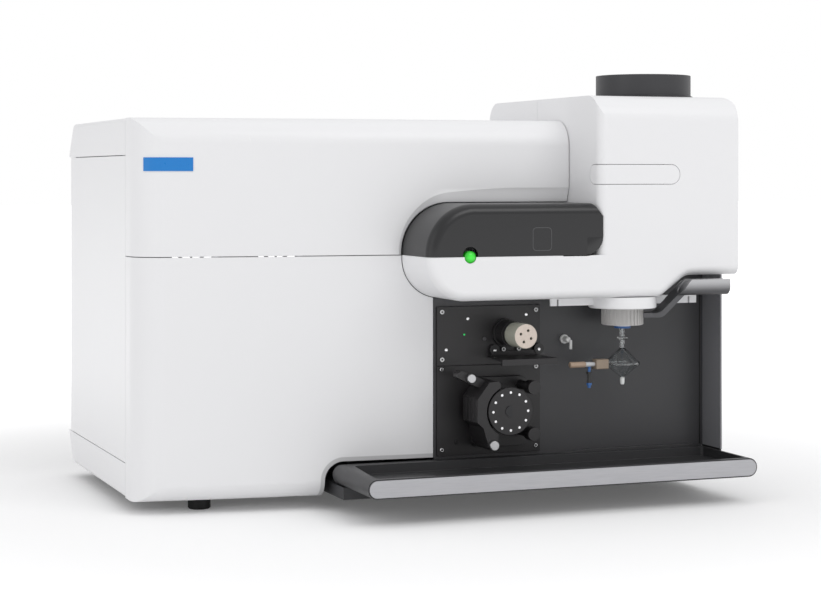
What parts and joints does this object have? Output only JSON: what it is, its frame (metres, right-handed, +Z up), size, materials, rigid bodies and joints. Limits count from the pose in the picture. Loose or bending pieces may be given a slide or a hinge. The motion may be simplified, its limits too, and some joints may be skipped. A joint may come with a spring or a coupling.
{
  "type": "plasma atomic emission spectrometer",
  "caption": "Bench-top elemental analyser: white case with a torch box and exhaust collar, open sample compartment with pump, valve and glass spray chamber, and a drip tray.",
  "frame": {"origin": "middle of the footprint, at the underside of the feet", "axes": "+X to the instrument's right seen from the front, +Y to its back, +Z up"},
  "size_m": [0.914, 0.696, 0.6565],
  "materials": {
    "white_shell": "fine satin paint",
    "black_band": "dark satin",
    "green_lens": "lit translucent green",
    "dark_panel": "dark grey satin paint",
    "black_plate": "matt black",
    "tray_silver": "satin",
    "satin_bar": "bead blasted",
    "collar_grey": "dark grey satin paint",
    "ribbed_grey": "satin",
    "frame_steel": "zinc plated",
    "bright_steel": "turned",
    "pale_polymer": "turned polymer",
    "tan_polymer": "moulded polymer",
    "blue_fitting": "moulded polymer",
    "clear_glass": "clear blown glass",
    "dark_glass": "dark filter glass",
    "rubber": "matt",
    "black_plastic": "matt",
    "socket_metal": "plated",
    "brass_union": "machined",
    "cast_bench": "painted casting",
    "optic": "black anodised with bright faces",
    "circuit": "solder mask",
    "case_metal": "plated sheet"
  },
  "bodies": {
    "case": {"base_chassis": "dark_panel", "base_skirt": "white_shell", "bench_mirrors": "optic", "compartment_panel": "dark_panel", "compartment_wall": "dark_panel", "control_board": "circuit", "data_sockets": "socket_metal", "detector_camera": "cast_bench", "diffraction_grating": "optic", "exhaust_collar": "collar_grey", "fan_frames": "frame_steel", "front_tray": "dark_panel", "gas_inlets": "brass_union", "indicator_band": "black_band", "inner_frame": "frame_steel", "left_side_panel": "white_shell", "levelling_feet": "rubber", "lower_front_cover": "white_shell", "mains_inlet": "black_plastic", "nebulizer": "tan_polymer", "nebulizer_nut": "tan_polymer", "optics_bench": "cast_bench", "plasma_source": "cast_bench", "plate_screws": "bright_steel", "power_supply": "case_metal", "power_switch": "black_band", "pump_head": "black_plate", "pump_motor": "black_plate", "pump_plate": "black_plate", "quartz_torch": "clear_glass", "rear_panel": "frame_steel", "right_side_panel": "white_shell", "roof_cover": "white_shell", "sample_fittings": "blue_fitting", "shoe_pivot_knob": "bright_steel", "spray_chamber": "clear_glass", "torch_bracket": "white_shell", "torch_front_cover": "white_shell", "torch_rear_cover": "white_shell", "tray_trim": "tray_silver", "upper_front_cover": "white_shell", "valve_actuator": "black_plate", "valve_bracket": "black_plate", "valve_head": "pale_polymer", "valve_plate": "black_plate", "viewing_window": "dark_glass"},
    "flap": {"window_flap": "white_shell", "flap_hinge_pins": "bright_steel"},
    "button": {"power_button": "green_lens"},
    "loader": {"loader_handle": "satin_bar", "loader_collar": "ribbed_grey"},
    "rotor": {"pump_rotor": "black_plate", "pump_shaft": "bright_steel", "pump_rollers": "bright_steel"},
    "shoe": {"pressure_shoe": "black_plate", "tension_block": "black_plate"},
    "tension_screw": {"thumb_screw": "bright_steel"},
    "rocker": {"mains_rocker": "black_plastic"},
    "left_fan": {"fan_rotor_1": "black_plastic"},
    "right_fan": {"fan_rotor_2": "black_plastic"}
  },
  "joints": [
    {"name": "flap_hinge", "type": "hinge", "parent": "case", "child": "flap", "pos_m": [0.3364, -0.2965, 0.5003], "axis": [0, 0, 1], "range_deg": [0, 100]},
    {"name": "button_press", "type": "slide", "parent": "case", "child": "button", "axis": [0, 1, 0], "range_m": [0, 0.003], "stiffness_N_per_m": 300},
    {"name": "loader_turn", "type": "hinge", "parent": "case", "child": "loader", "pos_m": [0.2785, -0.248, 0.285], "axis": [0, 0, 1], "range_deg": [-90, 0]},
    {"name": "rotor_spin", "type": "hinge", "parent": "case", "child": "rotor", "pos_m": [0.0835, -0.237, 0.1465], "axis": [0, 1, 0], "continuous": true},
    {"name": "shoe_pivot", "type": "hinge", "parent": "case", "child": "shoe", "pos_m": [0.0553, -0.237, 0.097], "axis": [0, 1, 0], "range_deg": [-30, 0]},
    {"name": "tension_turn", "type": "hinge", "parent": "shoe", "child": "tension_screw", "pos_m": [0.0253, -0.243, 0.19643], "axis": [0, 1, 0], "continuous": true},
    {"name": "rocker_tilt", "type": "hinge", "parent": "case", "child": "rocker", "pos_m": [0.343, 0.303, 0.1415], "axis": [1, 0, 0], "range_deg": [-20, 0]},
    {"name": "left_fan_spin", "type": "hinge", "parent": "case", "child": "left_fan", "pos_m": [-0.257, 0.292, 0.4], "axis": [0, 1, 0], "continuous": true},
    {"name": "right_fan_spin", "type": "hinge", "parent": "case", "child": "right_fan", "pos_m": [-0.107, 0.292, 0.4], "axis": [0, 1, 0], "continuous": true}
  ]
}
